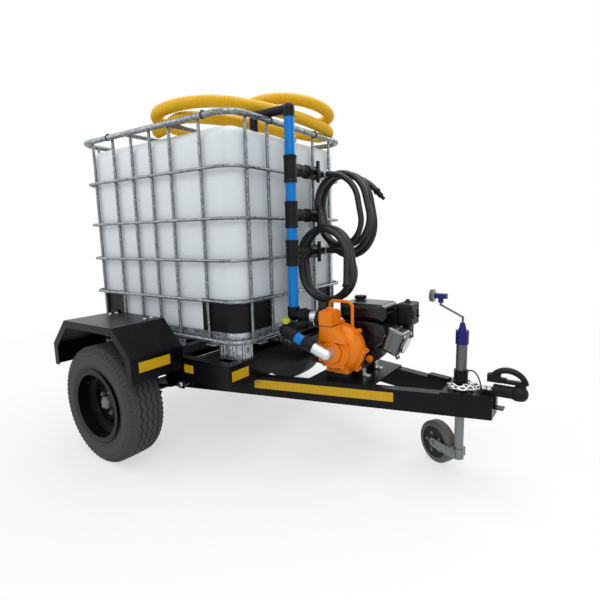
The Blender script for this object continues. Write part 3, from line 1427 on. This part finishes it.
@dataclass
class PumpTrim:
    """The pump's suction cover ring, volute shoulder, gasket flange and plugs."""

    shaft: tuple[float, float] = SHAFT
    neck: tuple[float, float] = (916.0, -212.0)
    flange_at: tuple[float, float, float] = (861.0, -225.0, 728.0)
    flange_turn: float = 40.0

    def cover(self) -> None:
        """Bolts the ring round the suction cover."""
        x, z = self.shaft
        ring = [(54, -219), (57, -223), (63, -223), (66, -219), (68, -213), (74, -213), (78, -215), (82, -213),
                (84, -208), (84, -190), (54, -205)]
        cover, bolts = Shape().lathe(ring, at(x, 0, z), LEFT, 64), []
        for a in map(math.radians, (35, 125, 215, 305)):
            lug = at(x + 84 * math.cos(a), -203, z + 84 * math.sin(a))
            cover.box(lug, (22, 20, 20), Matrix.Rotation(-a, 3, "Y"))
            bolts.append(at(x + 86 * math.cos(a), -213, z + 86 * math.sin(a)))
        cover.build("suction_cover_ring", PUMP_ORANGE, bevel=2)
        REPEAT.fasteners("suction_cover_bolts", bolts, -LEFT, 6.8, 6, PUMP_ORANGE)

    def shoulder(self) -> None:
        """Lofts the volute's shoulder from the dome up into the discharge neck."""
        nx, ny = self.neck
        outline = [squared(a, 0.3) for a in turns(32)]
        levels = ((612, 78, 52, 930, -184), (636, 66, 50, 924, -190), (660, 50, 49, 919, -200),
                  (680, 40, 48, nx, -210), (692, 36.5, 48, nx, ny))
        rings = [[at(cx + hx * c, cy + hy * s, z) for c, s in outline] for z, hx, hy, cx, cy in levels]
        Shape().skin(rings).build("volute_shoulder", PUMP_ORANGE, angle=50)
        Shape().box(at(nx, ny, 693.5), (72, 97, 3)).build("neck_gasket", CABLE_BLACK, slot="black_plastic")
        plug = [(0, 0), (17, 0), (19, 2), (19, 7), (17, 9), (0, 9)]
        Shape().box(at(nx, ny, 763), (52, 66, 8)).lathe(plug, at(nx, ny, 766.5), UP, 6).build(
            "priming_plug_boss", PUMP_ORANGE, bevel=2)
        drain = [(0, 0), (14, 0), (14, 14), (9.5, 15), (9.5, 26), (0, 26)]
        Shape().lathe(drain, at(968, -150, 436), -LEFT, 24).build("drain_plug", PUMP_ORANGE, bevel=1)

    def flange(self) -> None:
        """Bolts the black gasket flange between the steel nipple and the neck."""
        x, y, z = self.flange_at
        tilt = math.radians(self.flange_turn)
        outline = []
        for a in turns(40):
            r = 37 + 15 * abs(math.cos(a - tilt)) ** 3
            outline.append(at(x, y + r * math.cos(a), z + r * math.sin(a)))
        Shape().prism(outline, AHEAD * 0.016).build("discharge_flange", BLACK_PLASTIC, bevel=1.5)
        places = [at(x, y + r * math.cos(tilt), z + r * math.sin(tilt)) for r in (-43, 43)]
        REPEAT.fasteners("discharge_flange_bolts", places, BACK, 7.5, 7, PLATED)

    def build(self) -> None:
        """Makes the pump's details."""
        self.cover()
        self.shoulder()
        self.flange()


@dataclass
class EngineTrim:
    """The engine's plugs, silencer seams, filter clips, fuel tank seam and cooling cover screws."""

    muffler: tuple[float, float, float] = (1170.0, -22.0, 606.0)
    tilt: float = 20.0
    lean: float = 66.0
    fuel: tuple[float, float] = (996.0, 40.0)
    shaft: tuple[float, float] = SHAFT
    cover_r: float = 100.0

    def silencer(self) -> None:
        """Adds the silencer's seam, dish and guard screws."""
        turn, middle = Matrix.Rotation(math.radians(self.tilt), 3, "Y"), at(*self.muffler)
        out = turn @ AHEAD

        def spot(x: float, y: float, z: float) -> Vector:
            """A point of the tilted silencer, in millimetres from its middle."""
            return middle + turn @ Vector((x, y, z)) * 0.001

        shape = Shape()
        for r, thick in ((40.5, 2.2), (29, 1.8), (17, 1.6)):
            shape.tube([spot(56, r * math.cos(a), r * math.sin(a)) for a in turns(48)], thick, 8, closed=True)
        seam = [spot(-6, 52.6 * c, 62.6 * s) for c, s in (squared(a, 0.35) for a in turns(80))]
        shape.tube(seam, 2.2, 8, closed=True)
        shape.tube([spot(30, 0, -56), spot(34, 0, -70), spot(46, 0, -80)], (11, 11, 10.5), 20)
        shape.build("silencer_seams", MUFFLER_STEEL)
        dish = [(38.5, 0), (37, 2.2), (24, 4), (21, 3.2), (0, 4.2)]
        Shape().lathe(dish, spot(55.6, 0, 0), out).build("silencer_dish", PLATED)
        places = [spot(46.3, y, z) for y in (-42, 42) for z in (-50, 50)]
        REPEAT.fasteners("silencer_screws", places, out, 5, 4, PLATED)

    def plugs(self) -> None:
        """Adds the spark plug cap, the oil plugs and the crankcase bolts."""
        lean = math.radians(self.lean)
        way = Vector((math.sin(lean), 0, math.cos(lean)))
        cap = [(0, -2), (7, -2), (7, 10), (11, 12), (12, 20), (11, 34), (8, 38), (0, 38)]
        Shape().lathe(cap, at(950, 40, 570) + way * 0.15, way, 24).build("spark_plug_cap", BLACK_PLASTIC)
        plug = [(0, 0), (13, 0), (13, 14), (17, 15), (17, 26), (14, 28), (0, 28)]
        shape, ribs = Shape(), []
        for x, y, z in ((1049, -38, 504), (866, -90, 470)):
            shape.lathe(plug, at(x, y, z), -LEFT, 28).box(at(x, y - 31, z), (26, 8, 7))
            ribs += [at(x + 16.6 * math.cos(g), y - 15.5, z + 16.6 * math.sin(g)) for g in turns(12)]
        shape.build("oil_plugs", PUMP_ORANGE, bevel=0.8)
        REPEAT.fasteners("oil_plug_ribs", ribs, -LEFT, 1.8, 10, PUMP_ORANGE, sides=8, washer=0.5)
        bolts = [at(x, -96, z) for x in (856, 1004) for z in (512, 628)]
        REPEAT.fasteners("crankcase_bolts", bolts, -LEFT, 6, 6, PLATED)

    def front(self) -> None:
        """Adds the crankcase's front casting under the cylinder, and its feet on the plate."""
        side = [(1020, 466), (1052, 474), (1084, 503), (1105, 536), (1100, 556), (1078, 560), (1020, 556)]
        casting = Shape().prism([at(x, -40, z) for x, z in side], LEFT * 0.1)
        for z in (520, 540):
            casting.box(at(1058, -41, z), (70, 6, 7))
        casting.build("crankcase_front", ENGINE_CAST, bevel=4)
        feet, rows = Shape(), (-67, 75)
        for y in rows:
            feet.box(at(1025, y, 437), (7, 30, 38)).box(at(1039, y, 421), (34, 30, 6))
        feet.build("engine_feet", PLATED, bevel=1.2)
        REPEAT.fasteners("engine_foot_bolts", [at(1042, y, 424) for y in rows], UP, 7.5, 7, PLATED)

    def cowl(self) -> None:
        """Adds the cooling cowl over the cylinder, the carburettor and the intake pipe to the filter."""
        side = [(898, 638), (902, 688.5), (1084, 688.5), (1118, 674), (1136, 648), (1118, 618),
                (1040, 630), (960, 640)]
        cowl = Shape().prism([at(x, -66, z) for x, z in side], LEFT * 0.166)
        for x in (940, 990, 1040):
            cowl.box(at(x, -67, 662), (26, 6, 34))
        cowl.build("cylinder_cowl", ENGINE_BLACK, bevel=5)
        body = Shape().box(at(1118, 92, 690), (44, 66, 84)).box(at(1126, 92, 640), (36, 50, 30))
        body.tube([at(1108, 92, 700), at(1140, 96, 706), at(1160, 104, 708)], 21, 24)
        body.build("carburettor", BLACK_PLASTIC, bevel=4)

    def covers(self) -> None:
        """Adds the fuel tank's seam, the filter's clips and the starter cover's screws."""
        fx, fy = self.fuel
        seam = [at(fx + 125.4 * c, fy + 95.4 * s, 730) for c, s in (squared(a, 0.42) for a in turns(96))]
        Shape().tube(seam, 2.8, 8, closed=True).build("fuel_tank_seam", ENGINE_BLACK)
        clips = Shape()
        for y in (92, 156):
            clips.box(at(1217, y, 716), (5, 12, 40)).box(at(1219, y, 700), (7, 16, 8))
        knob = [(0, 0), (16, 0), (16, 6), (11, 8), (9, 16), (0, 17)]
        clips.lathe(knob, at(1174, 124, 771), UP, 24).build("filter_clips", BLACK_PLASTIC, bevel=0.8)
        (x, z), radius = self.shaft, self.cover_r
        places = [at(x + radius * math.cos(g), 164, z + radius * math.sin(g))
                  for g in map(math.radians, (20, 100, 200, 290))]
        REPEAT.fasteners("starter_cover_screws", places, LEFT, 5.5, 5, PLATED)
        REPEAT.fasteners("fuel_tank_screws", [at(fx - 100, fy + y, 776) for y in (-72, 72)], UP, 5, 4, PLATED)

    def build(self) -> None:
        """Makes the engine's details."""
        self.silencer()
        self.plugs()
        self.front()
        self.cowl()
        self.covers()


@dataclass
class NoseTrim:
    """Chain heap, jockey details and coupling bolts at the drawbar's nose."""

    jockey: tuple[float, float] = (1475.0, 0.0)
    plate_z: float = 418.0
    knob: tuple[float, float, float] = (1376.0, 0.0, 832.0)
    wheel: tuple[float, float, float] = (1360.7, 66.0, 102.0)
    axle: tuple[float, float, float] = (-0.5, -0.866, 0.0)
    lever_loop: tuple[float, float, float] = (1670.0, 452.0, 76.0)
    lever_steps: int = 24
    wheel_face_out: float = 27.8
    wheel_bolts_r: float = 45.0
    coil_r: float = 50.0
    chain_end: tuple[tuple[float, float], ...] = (
        (1530, 34), (1548, 22), (1560, 4), (1556, -16), (1542, -30), (1526, -40), (1512, -50), (1498, -60),
        (1482, -62), (1466, -60), (1450, -54))

    def chain(self) -> None:
        """Heaps the safety chain on the nose plate, round the jockey sleeve."""
        (x0, y0), r = self.jockey, self.coil_r
        path = []
        for i in range(15):
            g = math.radians(-150 + 20 * i)
            path.append(at(x0 + r * math.cos(g), y0 + r * math.sin(g), self.plate_z + 13 + 5 * (i % 3)))
        path += [at(x, y, self.plate_z + 10 + 8 * (i % 2)) for i, (x, y) in enumerate(self.chain_end)]
        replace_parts(REPEAT.chain("safety_chain_links", path, 28, 17, 3.3, PLATED), "safety_chain")

    def lever(self) -> None:
        """Fills out the coupling lever's grip, its rear block and its thumb catch."""
        mid_x, mid_z, r = self.lever_loop
        rings = []
        for share in (i / self.lever_steps for i in range(self.lever_steps + 1)):
            g = math.radians(24 + 132 * share)
            out = Vector((math.cos(g), 0, math.sin(g)))
            middle = at(mid_x, 0, mid_z) + out * r / 1000
            thick = 1 + 0.22 * math.sin(math.pi * share)
            rings.append([middle + (out * math.cos(a) * 0.0108 + LEFT * math.sin(a) * 0.0145) * thick
                          for a in turns(20)])
        Shape().skin(rings).build("coupler_grip", BLACK_PLASTIC, "coupler_lever", "black_paint", angle=60)
        block = Shape().box(at(mid_x - 54, 0, 489), (50, 31, 32)).box(at(mid_x - 20, 0, 489), (30, 20, 8))
        for x in (-70, -60, -50, -40):
            block.box(at(mid_x + x, 0, 505.5), (4, 26, 3))
        block.build("coupler_grip_block", BLACK_PLASTIC, "coupler_lever", "black_paint", bevel=3)

    def knob_face(self) -> None:
        """Marks the holes of the crank's knob on both faces and puts a rim round it."""
        x, y, z = self.knob
        dots = [(at(x + face, y + 17 * math.cos(g), z + 17 * math.sin(g)), way)
                for face, way in ((-46.4, BACK), (-28.1, AHEAD)) for g in turns(5, 0.3)]
        REPEAT.fasteners("knob_holes", *zip(*dots), 3.6, 0.7, GREY_RUBBER, "jockey_knob", sides=16, washer=1.05)
        rim = [(25, -47), (27.4, -47), (28.4, -45.6), (28.4, -29.4), (27.4, -28.4), (25, -28.4)]
        Shape().lathe(rim, at(x, y, z), AHEAD).build("knob_tyre", GREY_RUBBER, "jockey_knob")

    def wheel_face(self) -> None:
        """Dishes the jockey wheel's dark rim on both sides and bolts it."""
        axis, middle = Vector(self.axle), at(*self.wheel)
        across = axis.cross(UP).normalized()
        dish = [(12, 27.2), (20, 28.5), (24, 28.5), (26, 27.8), (64, 27.8), (70, 29.5), (74, 29.5), (76, 27.2),
                (12, 26.8)]
        shape, bolts = Shape(), []
        for way in (-axis, axis):
            shape.lathe(dish, middle, way, 56)
            for g in turns(5):
                ray = across * math.cos(g) + UP * math.sin(g)
                bolts.append((middle + (way * self.wheel_face_out + ray * self.wheel_bolts_r) / 1000, way))
        shape.build("jockey_wheel_discs", BLACK_PLASTIC, "jockey_roller")
        REPEAT.fasteners("jockey_wheel_bolts", *zip(*bolts), 5.8, 4.5, LEG_STEEL, "jockey_roller")

    def coupling(self) -> None:
        """Bolts the coupling to the nose."""
        places = [at(x, y, 436) for x in (1576, 1600) for y in (-16, 16)]
        REPEAT.fasteners("coupling_bolts", places, UP, 8.5, 7, PLATED, washer=1.3)

    def build(self) -> None:
        """Makes the nose's details."""
        self.chain()
        self.lever()
        self.knob_face()
        self.wheel_face()
        self.coupling()


@dataclass
class FrameTrim:
    """Weld beads and mudguard bolts of the chassis."""

    seams: tuple[tuple[tuple[float, float, float], tuple[float, float, float]], ...] = (
        ((585, 300, 412), (585, 372, 412)), ((-585, 565, 470), (-585, 565, 520)),
        ((1446, 24, 419), (1504, 24, 419)))
    bead: float = 6.0

    def welds(self) -> None:
        """Runs weld beads along the main joints, on both sides."""
        places = []
        for ends in self.seams:
            for s in (-1, 1):
                start, end = (at(x, s * y, z) for x, y, z in ends)
                count = max(2, int((end - start).length / (self.bead / 1000)))
                places += [start.lerp(end, (i + 0.5) / count) - UP * 0.003 for i in range(count)]
        REPEAT.fasteners("weld_beads", places, UP, 4.8, 6, BLACK_PAINT, sides=10, washer=1.1)

    def build(self) -> None:
        """Makes the chassis details."""
        self.welds()
        places = [at(x, s * y, 719) for s in (-1, 1) for x in (-212, 88) for y in (600, 640)]
        REPEAT.fasteners("mudguard_bolts", places, UP, 8, 6, PLATED)


@dataclass
class Stage:
    """The pale floor, the soft light and the camera of the photograph."""

    eye: tuple[float, float, float] = (1961.92, -1980.31, 1127.48)
    yaw: float = 34.535
    pitch: float = 8.660
    roll: float = -1.321
    lens: float = 26.256
    floor_fade: tuple[float, float] = (1.2, 4.5)
    floor_half: float = 30.0
    floor_z: float = -0.0005
    aim: tuple[float, float, float] = (0.0, 0.0, 0.8)
    lamps: tuple[tuple[str, tuple[float, float, float], float, float], ...] = (
        ("key", (3.2, -4.2, 4.6), 3.5, 150), ("fill", (-4.2, -3.0, 3.2), 3.5, 70),
        ("top", (0, 0.6, 5.6), 4.5, 165), ("back", (1.5, 4.5, 3.6), 3.0, 70))

    def camera(self) -> None:
        """Sets the camera where the photograph was taken from."""
        a, e, r = (math.radians(v) for v in (self.yaw, self.pitch, self.roll))
        back = Vector((math.sin(a) * math.cos(e), -math.cos(a) * math.cos(e), math.sin(e)))
        x = UP.cross(back).normalized()
        y = back.cross(x)
        right, up = math.cos(r) * x + math.sin(r) * y, -math.sin(r) * x + math.cos(r) * y
        data = bpy.data.cameras.new("camera")
        data.lens, data.sensor_width, data.clip_end = self.lens, 36.0, 200.0
        camera = bpy.data.objects.new("camera", data)
        turn = Matrix((right, up, back)).transposed().to_4x4()
        camera.matrix_world = Matrix.Translation(at(*self.eye)) @ turn
        bpy.context.scene.collection.objects.link(camera)
        bpy.context.scene.camera = camera

    @staticmethod
    def shown(tree: Tree) -> Socket:
        """Socket that is 1 for what the camera sees directly, in a mirror or through glass."""
        path = tree.nodes.new("ShaderNodeLightPath")
        direct = math_node(tree, "MAXIMUM", path.outputs["Is Camera Ray"], path.outputs["Is Glossy Ray"])
        return math_node(tree, "MAXIMUM", direct, path.outputs["Is Transmission Ray"])

    def world(self) -> None:
        """Lights the scene evenly, on a white ground."""
        world = bpy.data.worlds.new("studio")
        bpy.context.scene.world = world
        world.use_nodes = True
        tree = world.node_tree
        tree.nodes.clear()
        seen = node(tree, "ShaderNodeBackground", {"Color": (1, 1, 1, 1), "Strength": 1.0})
        lit = node(tree, "ShaderNodeBackground", {"Color": (0.93, 0.96, 1.0, 1), "Strength": 0.36})
        mix = node(tree, "ShaderNodeMixShader", {0: self.shown(tree), 1: lit.outputs[0], 2: seen.outputs[0]})
        node(tree, "ShaderNodeOutputWorld", {0: mix.outputs[0]})

    def floor(self) -> None:
        """Lays the pale floor, which fades to the white ground away from the part."""
        mesh, h = bpy.data.meshes.new("floor"), self.floor_half
        corners = [(x, y, self.floor_z) for x, y in ((-h, -h), (h, -h), (h, h), (-h, h))]
        mesh.from_pydata(corners, [], [(0, 1, 2, 3)])
        floor = bpy.data.objects.new("floor", mesh)
        material = bpy.data.materials.new("pale_floor")
        material.use_nodes = True
        tree = material.node_tree
        shader = tree.nodes["Principled BSDF"]
        shader.inputs["Base Color"].default_value = (0.9, 0.9, 0.9, 1)
        shader.inputs["Roughness"].default_value = 0.85
        place = tree.nodes.new("ShaderNodeNewGeometry").outputs["Position"]
        away = node(tree, "ShaderNodeVectorMath", {0: place}, operation="LENGTH").outputs["Value"]
        start, end = self.floor_fade
        fade = node(tree, "ShaderNodeMapRange",
                    {"Value": away, "From Min": start, "From Max": end, "To Min": 0.6})
        seen = math_node(tree, "MULTIPLY", fade.outputs[0], self.shown(tree))
        glow = tree.nodes.new("ShaderNodeEmission")
        mix = node(tree, "ShaderNodeMixShader", {0: seen, 1: shader.outputs[0], 2: glow.outputs[0]})
        tree.links.new(mix.outputs[0], tree.nodes["Material Output"].inputs["Surface"])
        mesh.materials.append(material)
        bpy.context.scene.collection.objects.link(floor)

    def build(self) -> None:
        """Makes the camera, the light and the floor."""
        self.camera()
        self.world()
        self.floor()
        for name, place, size, watts in self.lamps:
            data = bpy.data.lights.new(name, "AREA")
            data.size, data.energy = size, watts
            lamp = bpy.data.objects.new(name, data)
            lamp.location = place
            lamp.rotation_euler = (Vector(place) - Vector(self.aim)).to_track_quat("Z", "Y").to_euler()
            bpy.context.scene.collection.objects.link(lamp)
        bpy.context.scene.view_settings.view_transform = "Standard"


def dress_nodes() -> None:
    """Gives every carried-over solid its finish."""
    for finish, solids in NODE_FINISH.items():
        for solid in solids:
            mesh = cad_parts[solid].data
            mesh.materials.clear()
            mesh.materials.append(finish.material(KIT))
            LOG.info("solid %s has %s", solid, finish.name)


def main() -> None:
    """Builds the scene's classes in order."""
    logging.basicConfig(level=logging.INFO)
    Stage().build()
    dress_nodes()
    SuctionHose().build()
    DeliveryHoses().build()
    BreakawayCable().build()
    for side in (-1, 1):
        Tyre(side).build()
        WheelTrim(side).build()
        LeafSpring(side).build()
    Bottle().build()
    for trim in (CageTrim(), PipeTrim(), PumpTrim(), EngineTrim(), NoseTrim(), FrameTrim()):
        trim.build()


if __name__ == "__main__":
    main()
